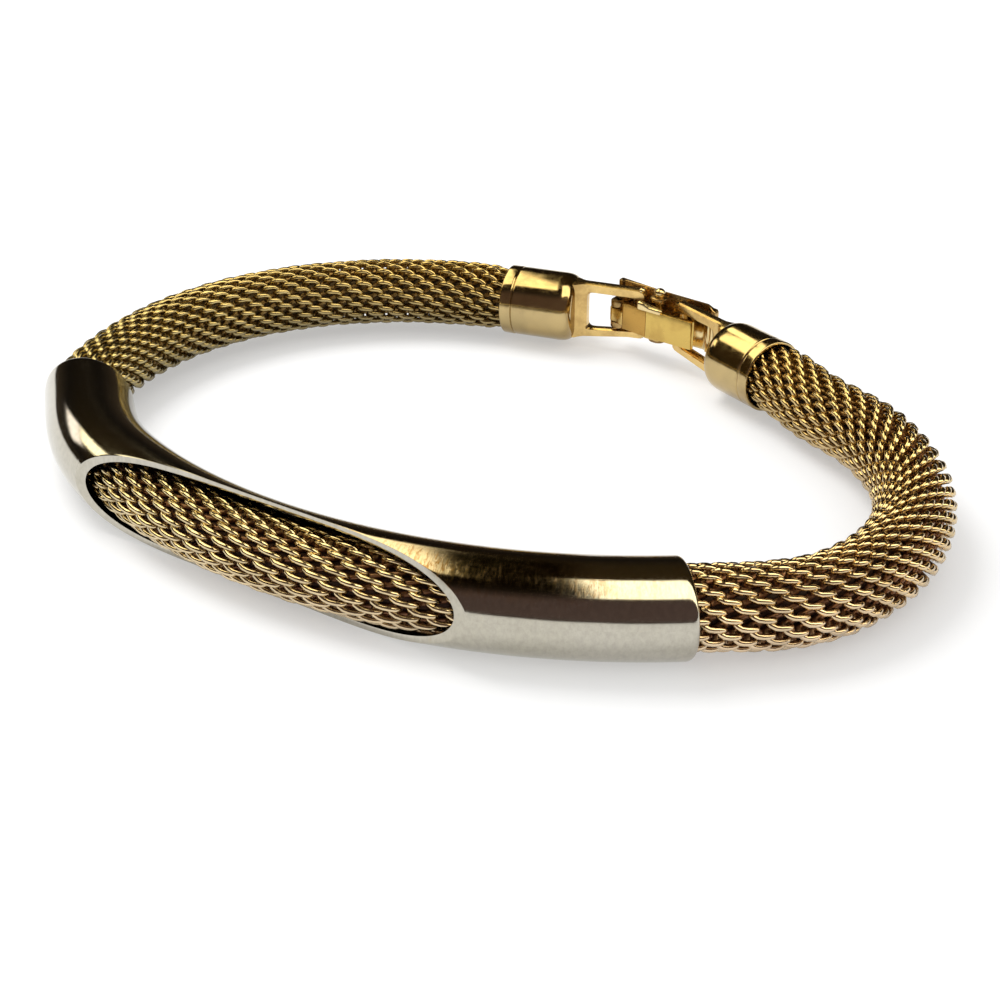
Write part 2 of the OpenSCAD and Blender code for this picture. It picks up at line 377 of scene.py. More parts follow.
# %% [markdown]
# ### Sleeve metal
#
# The sleeve is paler than the rope: a silver-toned plate with a warm cast. It
# has been worn against cuffs for years, so it carries fine scratches round its
# length and a freckling of golden-brown tarnish on top. Beside the window's right
# tip a broken dark patch is painted reflection. The finish follows the sleeve's
# own UV map: U runs along it, V goes round it from the outer side over the top.
# The skin value, 1 on the outside and 0 in the bore, keeps the tarnish and the
# painted reflection off the window's ground rim.

# %% Sleeve finish
PLATE_COOL, PLATE_WARM = (0.53, 0.50, 0.43), (0.49, 0.46, 0.38)
FAINT_BROWN, TARNISH_BROWN = (0.50, 0.38, 0.22), (0.34, 0.18, 0.05)
# Colour of the painted dark reflection beside the window's right tip
DARK_REFLECTION_BROWN = (0.07, 0.05, 0.022)
TARNISH_ROUGHNESS = (0.20, 0.20, 0.20)
# Where tarnish and the painted dark reflection lie: along the sleeve, and round it
TARNISH = ([(0.50, 0.0), (0.66, 1.0), (0.80, 1.0), (0.93, 0.25)],
           [(0.07, 0.0), (0.13, 1.0), (0.24, 1.0), (0.36, 0.3), (0.45, 0.0)])
DARK_REFLECTION_PLACE = ([(0.72, 0.0), (0.755, 1.0), (0.86, 1.0), (0.90, 0.0)],
         [(0.10, 0.0), (0.14, 1.0), (0.225, 1.0), (0.26, 0.0)])


def sleeve_metal():
    m, tree, shader = new_material("sleeve_metal")
    place = object_place(tree)
    uv_map = tree.nodes.new("ShaderNodeUVMap")
    uv_map.uv_map = "sleeve"
    uv = uv_map.outputs["UV"]
    along, round_it, _ = split(tree, uv)
    skin = stored(tree, "skin")

    def patch(along_stops, round_stops):
        return times(tree, ramp(tree, along, along_stops),
                     ramp(tree, round_it, round_stops))

    def marks(along_scale, round_scale, stops, detail=5.0, roughness=0.7):
        """Streaky noise; a larger scale along than round gives strokes across."""
        grain = noise(tree, uv, 1, detail, roughness, (along_scale, round_scale, 1))
        return ramp(tree, grain, stops)

    cast = ramp(tree, noise(tree, place, 120, detail=3), [(0.3, 0.0), (0.7, 1.0)])
    clean = mixed(tree, cast, PLATE_COOL, PLATE_WARM)
    # Tarnish lies mostly to the right of the window, in short strokes across
    strokes = times(tree, marks(210, 22, [(0.46, 0.0), (0.60, 1.0)], 3.0),
                    marks(14, 10, [(0.38, 0.0), (0.62, 1.0)], 4.0, 0.55))
    where = times(tree, patch(*TARNISH), ramp(tree, skin, [(0.9, 0.0), (0.97, 1.0)]))
    worn = times(tree, where, strokes)
    freckles = ramp(tree, noise(tree, place, 900, detail=8, roughness=0.7),
                    [(0.5, 0.0), (0.75, 0.6)])
    faint = ramp(tree, mixed(tree, 1.0, freckles, where, "ADD"),
                 [(0.3, 0.0), (1.0, 0.6)])
    shade = mixed(tree, faint, clean, FAINT_BROWN)
    scuffs = marks(170, 34, [(0.35, 0.86), (0.6, 1.0)])
    shade = mixed(tree, worn, times(tree, shade, scuffs), TARNISH_BROWN)
    # The painted dark reflection beside the window's tip is broken up too
    broken = marks(150, 26, [(0.34, 0.45), (0.52, 1.0)])
    dark_reflection = times(tree, times(tree, patch(*DARK_REFLECTION_PLACE), broken), skin)
    shade = mixed(tree, dark_reflection, shade, DARK_REFLECTION_BROWN)
    hairs = noise(tree, uv, 90, detail=6, stretch=(0.25, 6, 1))
    smooth = ramp(tree, hairs, [(0.3, 0.05), (0.7, 0.13)])
    finish(tree, shader, shade, mixed(tree, worn, smooth, TARNISH_ROUGHNESS))
    bumped(tree, shader, mixed(tree, 0.35, hairs, strokes), 0.10)
    return m


SLEEVE_METAL = sleeve_metal()
print("material:", SLEEVE_METAL.name)

# %% [markdown]
# ### Polished gold
#
# The caps and the clasp are cast and polished. Handling keeps their high places
# bright, while a brown film stays in the corners and in faint smears. The caps'
# lower halves are darkened and mottled with painted shade. One function with a
# few settings gives all these golds the same kind of wear, and the caps their painted
# shade.

# %% Polished gold finishes
# Painted shade on the caps' lower halves: heights where it fades out, and its mottled
# darker and lighter greys
LOWER_HALF = [(3.0 * MM, 1.0), (4.4 * MM, 0.0)]  # height, share of the dulling
LOWER_SHADE_DARK, LOWER_SHADE_LIGHT = (0.468, 0.468, 0.468), (0.728, 0.702, 0.65)


def polished_gold(name, bright, film, film_from, roughness, shaded_below=False):
    """Gold with a brown film; the last setting paints shade on the lower half."""
    m, tree, shader = new_material(name)
    place = object_place(tree)
    smears = ramp(tree, noise(tree, place, 260, detail=6, roughness=0.65),
                  [(film_from, 0.0), (film_from + 0.25, 1.0)])
    shade = mixed(tree, smears, bright, film)
    if shaded_below:
        # Painted shade: below mid height the colour is darkened unevenly
        below = ramp(tree, split(tree, place)["Z"], LOWER_HALF)
        mottled = ramp(tree, noise(tree, place, 300, detail=2),
                       [(0.40, LOWER_SHADE_DARK), (0.60, LOWER_SHADE_LIGHT)])
        shade = mixed(tree, below, shade, times(tree, shade, mottled))
    fine = noise(tree, place, 1500, detail=4, stretch=(1, 1, 3))
    rough = ramp(tree, fine, [(0.3, roughness), (0.75, roughness + 0.14)])
    finish(tree, shader, shade, rough)
    bumped(tree, shader, fine, 0.06)
    return m


# Bright colour, film, where the film sets in, roughness, and whether the lower half
# gets painted shade
GOLDS = {name: polished_gold(name + "_gold", *settings) for name, settings in (
    ("cap", ((0.58, 0.44, 0.21), (0.36, 0.26, 0.13), 0.48, 0.07, True)),
    ("lever", ((0.62, 0.43, 0.12), (0.46, 0.29, 0.08), 0.5, 0.16)),
    ("pale", ((0.78, 0.62, 0.32), (0.54, 0.38, 0.17), 0.5, 0.14)),
    ("shoulder", ((0.48, 0.28, 0.07), (0.24, 0.12, 0.03), 0.52, 0.16)),
    ("clasp", ((0.74, 0.52, 0.18), (0.42, 0.26, 0.09), 0.48, 0.14)),
    ("cover", ((0.60, 0.40, 0.16), (0.12, 0.065, 0.025), 0.42, 0.20)),
    ("loop", ((0.74, 0.52, 0.20), (0.40, 0.25, 0.09), 0.46, 0.16)))}
print("golds:", *GOLDS)

# %% [markdown]
# ## The woven rope
#
# The rope is a seamless tube of spiral rings. Each ring is one wire that winds
# through its neighbours like the coils of a chain-link fence: outside it runs
# along the rope, at its ends it dives under and hooks round its neighbour, and
# inside it comes back. Each ring sits half a turn round from the one before it.
#
# One ring is modelled. A circle gets its points moved sideways and in and out,
# and the edge loop becomes a curve with a round bevel. An Array modifier with a
# turned offset repeats the ring, and the result is laid on the centre line.
# Drawing each wire by hand would give thousands of curves, and a bump map would
# give a weave without an outline.

# %% Sizes of the weave
ROPE_R = 3.0 * MM
WIRE_R = 0.225 * MM
TURNS = 14  # spiral turns round one ring
STEPS = 14  # points on one spiral turn
RING_PITCH = 1.0 * MM  # from ring to ring before the rope is laid
HALF_STRAND = 0.71 * MM
HALF_DEPTH = 0.44 * MM
FLAT = 0.65  # below 1, the strands stay longer outside and inside
LEAN = 0.12  # share of a turn taken from the strands outside
HOOK = 0.65  # how far one end of each strand hooks round its neighbour
HOOK_FROM = 0.3  # where the hook sets in, as a share of half a strand
HOOK_CURL = 1.5  # above 1, the hook tightens towards the strand's end
RING_TURN = 0.5 * 360 / TURNS * DEG
MID_R = ROPE_R - WIRE_R - HALF_DEPTH
print(f"{TURNS} turns to a ring, each ring turned by {RING_TURN / DEG:.1f} degrees")

# %% One wire of a ring


def around(x, r, angle):
    """Points at this distance and angle from the X axis."""
    return np.stack([x, r * np.cos(angle), r * np.sin(angle)], axis=1)


def wire_loop(name):
    deselect()
    bpy.ops.mesh.primitive_circle_add(
        vertices=TURNS * STEPS, radius=MID_R, rotation=(0, 90 * DEG, 0))
    o = added(name)
    apply_place(o)
    rows = points(o)
    angle = np.arctan2(rows[:, 2], rows[:, 1])
    t = angle * TURNS
    hook = HOOK * np.clip(-np.sin(t) - HOOK_FROM, 0, None) ** HOOK_CURL
    angle = angle - (2 * LEAN * np.sin(t) + hook) * RING_TURN
    wave = np.cos(t)
    r = MID_R + HALF_DEPTH * np.sign(wave) * np.abs(wave) ** FLAT
    put_points(o, around(HALF_STRAND * np.sin(t), r, angle))
    return o


def rounded_wire(o):
    """Turns a loop of edges into a round wire."""
    pick(o)
    bpy.ops.object.convert(target="CURVE")
    o = bpy.context.active_object
    o.data.bevel_depth = WIRE_R
    o.data.bevel_resolution = 1
    bpy.ops.object.convert(target="MESH")
    return bpy.context.active_object


RING = rounded_wire(wire_loop("ring"))
report(RING)

# %% [markdown]
# ### Repeating the ring
#
# The rings are pushed together in the bends and pulled apart inside the sleeve,
# where the window shows long open stitches. A short table gives the distance
# from ring to ring. Adding it up along the line tells which ring lies where.
#
# The Array modifier takes its step from an empty, which stands one ring further
# on and is turned by half a spiral turn. Each stretch of the rope that shows is
# a piece of its own: behind the sleeve, in the window and on the right side.

# %% Where each ring lies
SPACING = [  # place along the line, distance from ring to ring, both in mm
    (0, 1.03), (28, 1.03), (38, 0.85), (46, 0.9), (56, 1.29), (96, 1.29),
    (108, 1.03), (116, 1.0), (122, 0.78), (133, 0.78), (141, 1.0), (158, 1.0)]
PLACES = np.arange(-4, 164, 0.05) * MM
gaps = np.interp(PLACES / MM, *zip(*SPACING)) * MM
RINGS = np.append(0, np.cumsum(np.diff(PLACES) / gaps[1:]))


def ring_number(place):
    return np.interp(place, PLACES, RINGS)


def ring_place(number):
    return np.interp(number, RINGS, PLACES)


print(f"{ring_number(LINE_LENGTH) - ring_number(0):.0f} rings from cap to cap")

# %% Stretches of weave


def stretch_of_weave(name, start, end):
    first, last = math.ceil(ring_number(start)), math.floor(ring_number(end))
    pick(RING)
    bpy.ops.object.duplicate()
    o = added(name)
    bpy.ops.object.empty_add(location=(RING_PITCH, 0, 0), rotation=(RING_TURN, 0, 0))
    step = bpy.context.active_object
    pick(o)
    array = o.modifiers.new("rings", "ARRAY")
    array.count = last - first + 1
    array.use_relative_offset = False
    array.use_object_offset = True
    array.offset_object = step
    bpy.ops.object.modifier_apply(modifier="rings")
    bpy.data.objects.remove(step)
    o.location.x = first * RING_PITCH
    o.rotation_euler.x = first * RING_TURN
    apply_place(o)
    return o


def keep_value(o, name, values, kind="FLOAT"):
    o.data.attributes.new(name, kind, "POINT").data.foreach_set("value", values)


# The rope is narrower where a cap holds it and where the sleeve stretches it,
# and a little wider in the free bend on the right
END_L = LINE_LENGTH / MM
WIDTH = [  # place along the line in mm, share of the full width
    (0, 0.91), (0.6, 0.95), (1.4, 1), (44, 1), (52, 0.93), (100, 0.93), (107, 1),
    (114, 1.04), (142, 1.04), (150, 1),
    (END_L - 1.4, 1), (END_L - 0.6, 0.95), (END_L, 0.91)]
# In the window it lies on the bore's lower side
SINK = [(50, 0), (57, 0.26), (100, 0.26), (106, 0)]  # place, shift down, mm


def squeezed(rows):
    place = rows[:, 0] / MM
    rows[:, 1:] *= np.interp(place, *zip(*WIDTH))[:, None]
    rows[:, 2] -= np.interp(place, *zip(*SINK)) * MM
    return rows


def dress(o, material, body, slot, *nodes):
    """Gives a piece its finish and its body, and hides the nodes it replaces; slot is
    not used.
    """
    o.data.materials.clear()
    o.data.materials.append(material)
    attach(o, body)
    if nodes:
        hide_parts(*nodes)
    report(o)


def finish_weave(o):
    """Notes each point's depth and place, then lays the weave on the line."""
    rows = points(o)
    depth = np.hypot(rows[:, 1], rows[:, 2])
    keep_value(o, "proud", (depth - (MID_R - HALF_DEPTH)) / (2 * HALF_DEPTH))
    rows[:, 0] = ring_place(rows[:, 0] / RING_PITCH)
    keep_value(o, "along", rows[:, 0] / LINE_LENGTH)
    rows = squeezed(rows)
    put_points(o, lay(rows))
    pick(o)
    bpy.ops.object.shade_smooth()
    dress(o, GOLD_WIRE, "bracelet", "gold_mesh")


INTO = 1.6 * MM  # how far the weave reaches into a cap or the sleeve
WINDOW_MIDDLE = (SLEEVE_START + SLEEVE_END) / 2 - 0.05 * MM
WINDOW_HALF = 20 * MM

for name, start, end in (
        ("weave_back", -INTO, SLEEVE_START + INTO),
        ("weave_window", WINDOW_MIDDLE - WINDOW_HALF, WINDOW_MIDDLE + WINDOW_HALF),
        ("weave_right", SLEEVE_END - INTO, LINE_LENGTH + INTO)):
    finish_weave(stretch_of_weave(name, start, end))
bpy.data.objects.remove(RING)

# %% [markdown]
# ### The dark inside of the rope
#
# Looking into the weave, the eye meets more wire, old grime and deep shade. A dark
# core just under the wires closes the view: it is painted shade with some grime,
# and it runs on through the sleeve.

# %% Core


def tube_surface(name, along, round_points, place):
    """A closed tube as a grid: place(u, v) gives rows of (along, inward, up)."""
    deselect()
    bpy.ops.mesh.primitive_grid_add(
        x_subdivisions=along, y_subdivisions=round_points, size=2)
    o = added(name)
    rows = points(o)
    put_points(o, place((rows[:, 0] + 1) / 2, (rows[:, 1] + 1) / 2))
    return o


def edited(o, *steps):
    """Runs steps in edit mode, each on the whole mesh."""
    pick(o)
    bpy.ops.object.mode_set(mode="EDIT")
    for step in steps:
        bpy.ops.mesh.select_all(action="SELECT")
        step()
    bpy.ops.object.mode_set(mode="OBJECT")


def merge(distance):
    """The step that makes one point of those closer than this, in mm."""
    return lambda: bpy.ops.mesh.remove_doubles(threshold=distance * MM)


def face_outwards():
    bpy.ops.mesh.normals_make_consistent(inside=False)


def close_ends():
    bpy.ops.mesh.select_all(action="DESELECT")
    bpy.ops.mesh.select_non_manifold()
    bpy.ops.mesh.edge_face_add()


CORE_R = 1.8 * MM


def core_place(u, v):
    return around(-INTO + u * (LINE_LENGTH + 2 * INTO), CORE_R, 2 * np.pi * v)


# The core is a dark sheet that stands in for the shade inside the rope
core = tube_surface("rope_core", 180, 28, core_place)
put_points(core, lay(squeezed(points(core))))
edited(core, merge(0.01), close_ends, face_outwards)
bpy.ops.object.shade_smooth()
dress(core, CORE_SHADE_AND_GRIME, "bracelet", "gold_mesh", "mesh_rope")

# %% [markdown]
# ## The sleeve
#
# The real one is a piece of brass tube, bent, plated and polished. A big
# grinding wheel, held against its outer side, cut the window, so the window's
# rim is a flat band as wide as the wall is thick, and wider at the two tips.
#
# Outer and inner sheet are grids whose rows go round the tube. Beside the
# window each row stops at the wheel's surface. The ends, which are cut a little
# aslant, and the rim are bridged and get a small bevel. A Boolean would leave
# ragged triangles along the long shallow cut, and they would show in the polish.

# %% The window's edge
SLEEVE_R, BORE_R = 3.6 * MM, 3.2 * MM
WHEEL_R = 205 * MM
WINDOW_DEPTH = 4.0 * MM
WINDOW_TILT = 6.5 * DEG
ANGLES = np.linspace(-150, 150, 1501) * DEG  # tried in search of the window's sides

front_row = LINE[4]
window_heading = front_row[1] + (WINDOW_MIDDLE - front_row[0]) / front_row[4]
WINDOW_PLACE = lay(np.array([[WINDOW_MIDDLE, 0, 0]]))[0]
FORWARD = np.array([math.cos(window_heading), math.sin(window_heading), 0])
OUTWARD = np.array([FORWARD[1], -FORWARD[0], 0])
CUT = math.cos(WINDOW_TILT) * OUTWARD + math.sin(WINDOW_TILT) * np.array([0, 0, 1])


def tube_rows(r, s, angle):
    """Points of a tube; the angle runs from the outer side over the top."""
    return np.stack([s, -r * np.cos(angle), r * np.sin(angle)], axis=-1)


def depth_in_wheel(r, s, angle):
    p = lay(tube_rows(r + 0 * s, s, angle)) - WINDOW_PLACE
    from_axis = np.hypot(p @ CUT - (SLEEVE_R - WINDOW_DEPTH + WHEEL_R), p @ FORWARD)
    return WHEEL_R - from_axis


def window_tip(r, outside):
    """Halves the way from the window's middle to a place outside it."""
    inside = WINDOW_MIDDLE
    for _ in range(30):
        s = (inside + outside) / 2
        cut = depth_in_wheel(r, s + 0 * ANGLES, ANGLES).max() > 0
        inside, outside = (s, outside) if cut else (inside, s)
    return inside


def window_sides(r, s):
    """The two angles between which the wheel has cut the tube away."""
    depth = depth_in_wheel(r, s + 0 * ANGLES, ANGLES)
    k = depth.argmax()
    low = np.where(depth[:k] <= 0)[0][-1]
    high = k + np.where(depth[k:] <= 0)[0][0]
    return (np.interp(0, depth[[low, low + 1]], ANGLES[[low, low + 1]]),
            np.interp(0, depth[[high, high - 1]], ANGLES[[high, high - 1]]))


# %% Sheets of the sleeve
TIP_COLUMNS = 150  # columns between the window's tips
LEFT_COLUMNS, RIGHT_COLUMNS = 56, 46
ROUND_COLUMNS = 7  # columns in each rounded end
ROUND_STEPS = 76  # steps round the tube
END_ROUND = 0.45 * MM  # how far from each end its outer edge is rounded
END_DROP = 0.3 * MM  # how far the radius shrinks there
LEFT_SKEW, RIGHT_SKEW = -0.7 * MM, 0.45 * MM  # the ends are cut a little aslant
SKEW_L = 9 * MM
PAST_TIP = 30 * MM  # further from the middle than either tip
LEFT_END, RIGHT_END, RIM = 1, 2, 3  # marks on the edges that are bridged
HAIR = 1e-9  # allowed for rounding


def sleeve_columns(r):
    """Places of the columns: close together at the window's tips and the ends."""
    tips = [window_tip(r, WINDOW_MIDDLE + way) for way in (-PAST_TIP, PAST_TIP)]
    swing = (1 - np.cos(np.pi * np.linspace(0, 1, TIP_COLUMNS + 1))) / 2
    quarter = np.pi / 2 * np.linspace(0, 1, ROUND_COLUMNS)
    near_end = END_ROUND * (1 - np.cos(quarter))
    left = np.linspace(SLEEVE_START + END_ROUND, tips[0], LEFT_COLUMNS)[1:-1]
    right = np.linspace(tips[1], SLEEVE_END - END_ROUND, RIGHT_COLUMNS)[1:-1]
    between = tips[0] + swing * (tips[1] - tips[0])
    return np.concatenate([SLEEVE_START + near_end, left, between, right,
                           SLEEVE_END - near_end[::-1]]), tips


def edge_rounding(s):
    """How much the outer radius shrinks close to an end."""
    from_end = np.minimum(s - SLEEVE_START, SLEEVE_END - s)
    t = 1 - np.clip(from_end / END_ROUND, 0, 1)
    return END_DROP * (1 - np.sqrt(np.clip(1 - t * t, 0, 1)))


def sleeve_sheet(name, r):
    columns, tips = sleeve_columns(r)
    deselect()
    bpy.ops.mesh.primitive_grid_add(
        x_subdivisions=len(columns) - 1, y_subdivisions=ROUND_STEPS, size=2)
    o = added(name)
    rows = points(o)
    i = np.rint((rows[:, 0] + 1) / 2 * (len(columns) - 1)).astype(int)
    v = (rows[:, 1] + 1) / 2
    low, high = np.array([window_sides(r, s) for s in np.clip(columns, *tips)]).T
    past = (columns <= tips[0]) | (columns >= tips[1])
    low = np.where(past, (low + high) / 2, low)
    high = np.where(past, low, high)
    angle = high[i] + (low[i] + 2 * np.pi - high[i]) * v
    s = columns[i]
    radius = r - (r == SLEEVE_R) * edge_rounding(s)
    near_left = np.clip(1 - (s - SLEEVE_START) / SKEW_L, 0, 1) ** 2
    near_right = np.clip(1 - (SLEEVE_END - s) / SKEW_L, 0, 1) ** 2
    skewed = s + (LEFT_SKEW * near_left + RIGHT_SKEW * near_right) * np.cos(angle)
    mark = np.zeros(len(rows), dtype=int)
    at_side = (v < HAIR) | (v > 1 - HAIR)
    mark[at_side & (s >= tips[0] - HAIR) & (s <= tips[1] + HAIR)] = RIM
    mark[i == 0] = LEFT_END
    mark[i == len(columns) - 1] = RIGHT_END
    put_points(o, lay(tube_rows(radius, skewed, angle)))
    keep_value(o, "mark", mark, "INT")
    keep_value(o, "skin", np.full(len(rows), float(r == SLEEVE_R)))
    corner = np.empty(len(o.data.loops), dtype=int)
    o.data.loops.foreach_get("vertex_index", corner)
    share = (s - SLEEVE_START) / (SLEEVE_END - SLEEVE_START)
    uv = np.stack([share, angle / (2 * np.pi)], axis=1)
    layer = o.data.uv_layers[0]
    layer.name = "sleeve"
    layer.data.foreach_set("uv", uv[corner].ravel())
    edited(o, merge(0.002))
    return o


outer = sleeve_sheet("sleeve_tube", SLEEVE_R)
inner = sleeve_sheet("sleeve_bore", BORE_R)
report(outer)

# %% Bridging the ends and the rim
pick(outer, inner)
bpy.ops.object.join()
sleeve = added("sleeve_tube")
marks = np.empty(len(sleeve.data.vertices), dtype=int)
sleeve.data.attributes["mark"].data.foreach_get("value", marks)
sleeve.data.attributes.remove(sleeve.data.attributes["mark"])
for mark in (LEFT_END, RIGHT_END, RIM):
    pick(sleeve)
    bpy.ops.object.mode_set(mode="EDIT")
    bpy.ops.mesh.select_mode(type="VERT")
    bpy.ops.mesh.select_all(action="DESELECT")
    bpy.ops.object.mode_set(mode="OBJECT")
    sleeve.data.vertices.foreach_set("select", marks == mark)
    bpy.ops.object.mode_set(mode="EDIT")
    bpy.ops.mesh.select_mode(type="EDGE")
    bpy.ops.mesh.bridge_edge_loops()
    bpy.ops.object.mode_set(mode="OBJECT")
edited(sleeve, face_outwards)

# %% Rounding the sleeve's edges


def bevelled(o, width, segments=2, angle=50):
    """Rounds the active object's edges sharper than this angle; width in mm."""
    bevel = o.modifiers.new("edges", "BEVEL")
    bevel.width = width * MM
    bevel.segments = segments
    bevel.limit_method = "ANGLE"
    bevel.angle_limit = angle * DEG
    bpy.ops.object.modifier_apply(modifier="edges")


bevelled(sleeve, 0.05, angle=40)
bpy.ops.object.shade_smooth_by_angle(angle=32 * DEG)
dress(sleeve, SLEEVE_METAL, "bracelet", "worn_sleeve", "sleeve")

# %% [markdown]
# ## Caps and clasp
#
# The real barrels are turned or pressed from brass, with a rolled rim at the
# mouth that a fine groove sets off, and flat loops are brazed to them. Cap A's
# barrel is a little longer than cap B's. The clasp is folded from sheet. All of
# it was polished after plating, so no edge is really sharp.
#
# Barrels and loops are drawn as outlines with softened corners. An outline is
# swept round an axis or round the loop's hole as a grid whose two sides meet.
# The spin operator would do the barrels, but not the loops, and one way for
# both keeps the edges alike.

# %% Outlines and swept grids


def soften(corners, steps=5):
    """Closed outline: each corner (a, b, cut), in mm, becomes a small curve."""
    rows = np.array(corners) * MM
    out = []
    for k, row in enumerate(rows):
        here, cut, ends = row[:2], row[2], []
        for other in (rows[k - 1], rows[(k + 1) % len(rows)]):
            way = other[:2] - here
            ends.append(here + way * min(cut / np.hypot(*way), 0.5))
        if cut == 0:
            out.append(here)
            continue
        for t in np.linspace(0, 1, steps):
            out.append((1 - t) ** 2 * ends[0] + 2 * t * (1 - t) * here
                       + t * t * ends[1])
    return np.array(out)


def spaced(outline, count):
    """The closed outline as this many points, evenly spaced."""
    loop = np.vstack([outline, outline[:1]])
    way = np.append(0, np.cumsum(np.hypot(*np.diff(loop, axis=0).T)))
    at = np.linspace(0, way[-1], count + 1)
    return np.stack([np.interp(at, way, column) for column in loop.T], axis=1)


def swept(name, along, round_points, place):
    """Closed mesh from a grid; place(i, v) gives points for row i and share v."""
    o = tube_surface(name, along, round_points,
                     lambda u, v: place(np.rint(u * along).astype(int), v))
    edited(o, merge(0.004), face_outwards)
    return o


def drop_slivers():
    bpy.ops.mesh.dissolve_degenerate(threshold=0.002 * MM)


def clean_normals(o, angle=30):
    edited(o, drop_slivers, face_outwards)
    bpy.ops.object.shade_smooth_by_angle(angle=angle * DEG)


# %% Barrel
CAP_R, CAP_BORE = 3.12, 2.86  # mm
RIM_L, GROOVE = 1.1, 0.12  # mouth to groove, and its depth, mm
CUP_FLOOR = 4.7  # from the rope's end to the floor inside, mm
SHOULDER_DROP = 0.67  # how much narrower the closed end is, mm
ON_AXIS = 0.001  # a radius next to nothing, mm
ROUND_POINTS = 72


def barrel(name, mouth, end):
    """A cup with its axis on X, open at the mouth."""
    groove = mouth + RIM_L
    corners = [
        (CUP_FLOOR, ON_AXIS, 0), (CUP_FLOOR, CAP_BORE, 0.15), (mouth, CAP_BORE, 0.08),
        (mouth, CAP_R + 0.01, 0.16), (groove - 0.08, CAP_R + 0.02, 0.12),
        (groove, CAP_R - GROOVE, 0.04), (groove + 0.08, CAP_R, 0.12),
        (end - 0.55, CAP_R, 0.9), (end, CAP_R - SHOULDER_DROP, 0.6), (end, ON_AXIS, 0)]
    profile = soften(corners, steps=7)
    profile = np.vstack([profile, profile[:1]])

    def place(i, v):
        return around(*profile[i].T, 2 * np.pi * v)

    return swept(name, len(profile) - 1, ROUND_POINTS, place)


# %% Loop
LOOP_T = 1.0 * MM
LOOP_POINTS = 120  # points round the hole
ROOT_IN, BAR_W = 5.0, 1  # the root's start in the barrel, the bar's width, mm
FRAME_HALF, HOLE_HALF = 2.7, 1.85  # half heights, mm
# The frame's and the hole's shape, length against height, for pairing their points
FRAME_RATIO, HOLE_RATIO = [[1.45], [2.0]], [[1], [1.15]]
EDGE_Y = 0.72  # how far the rounded edges stand out, of half LOOP_T
FLARE_L, FLARE = 0.9 * MM, 0.9  # length of the flare, and how much it thickens
NARROW_FROM, NARROW_L, NARROW = 6.5 * MM, 5.5 * MM, 0.26


def frame_outline(x0, x1, half, cut0, cut1):
    corners = [(x0, -half, cut0), (x1, -half, cut1), (x1, half, cut1), (x0, half, cut0)]
    return spaced(soften(corners), LOOP_POINTS)


def loop_of_cap(name, root, hole_from, hole_to):
    """Flat frame in the X-Z plane, from inside the barrel to the bar's end."""
    edge = frame_outline(ROOT_IN, hole_to + BAR_W, FRAME_HALF, 0.3, 0.6)
    hole = frame_outline(hole_from, hole_to, HOLE_HALF, 0.6, 0.3)
    # Pair each point of the edge with the hole's point in the same direction
    middle = np.array(((hole_from + hole_to) / 2 * MM, 0))
    bearing = np.arctan2(*(edge - middle).T[::-1] / np.array(FRAME_RATIO))
    hole_bearing = np.arctan2(*(hole - middle).T[::-1] / np.array(HOLE_RATIO))
    order = np.argsort(hole_bearing[:-1])
    hole = np.stack([np.interp(bearing, hole_bearing[:-1][order], hole[:-1][order, k],
                               period=2 * np.pi) for k in (0, 1)], axis=1)
    # The section of a bar: share of the way from hole to edge, and side
    face = [(share, -1) for share in np.linspace(0.10, 0.90, 9)]
    bars = [(0.0, -EDGE_Y), *face, (1.0, -EDGE_Y)]
    bars += [(share, -side) for share, side in reversed(bars)]
    bars = np.array(bars + bars[:1])

    def place(i, v):
        k = np.rint(v * LOOP_POINTS).astype(int)
        share, y = bars[i].T
        p = hole[k] + (edge[k] - hole[k]) * share[:, None]
        # The root flares where the braze runs out onto the barrel
        flare = np.clip(1 - (p[:, 0] - root * MM) / FLARE_L, 0, 1) ** 2
        # Below, the frame narrows towards its bar
        narrow = 1 - NARROW * np.clip((p[:, 0] - NARROW_FROM) / NARROW_L, 0, 1)
        up = np.where(p[:, 1] < 0, p[:, 1] * narrow, p[:, 1])
        return np.stack([p[:, 0], y * LOOP_T / 2 * (1 + FLARE * flare), up], axis=1)

    return swept(name, len(bars) - 1, LOOP_POINTS, place)


# %% Both caps


def put_cap(o, at, heading):
    """Lays a piece with its mouth at a point of the plane, X along the heading."""
    o.location = (at[0], at[1], AXIS_Z)
    o.rotation_euler = (0, 0, heading)
    apply_place(o)


END_HEADING = START_HEADING + sum(turn for _, turn in ARCS) * DEG
END = lay(np.array([[LINE_LENGTH, 0, 0]]))[0]
# Barrel from mouth to closed end, place, heading, and the loop's hole; in mm
for letter, mouth, end, at, heading, hole in (
        ("a", 0.4, 7.0, START, START_HEADING + math.pi, (8.0, 12.5)),
        ("b", 0.0, 5.9, END, END_HEADING, (7.4, 11.6))):
    tube = barrel("barrel_" + letter, mouth, end)
    put_cap(tube, at, heading)
    clean_normals(tube)
    dress(tube, GOLDS["cap"], "bracelet", "gold_cap", "end_cap_" + letter)
    flat = loop_of_cap("loop_" + letter, end, *hole)
    put_cap(flat, at, heading)
    clean_normals(flat, 40)
    dress(flat, GOLDS["loop"], "bracelet", "gold_cap")

# %% [markdown]
# ### Clasp
#
# The clasp has its own frame: X runs from bar B to bar A, Y to the wrist. The
# outer plate is folded at both ends. Its ears hold the catch pin, and its
# knuckles hold the hinge pin, on which the lever swings.
#
# The flat parts are outlines drawn out to a height and bevelled, the pins are
# cylinders with rounded ends, and their heads are flattened balls. Sheet with a
# Solidify modifier would do too, but outlines keep each thickness as drawn.

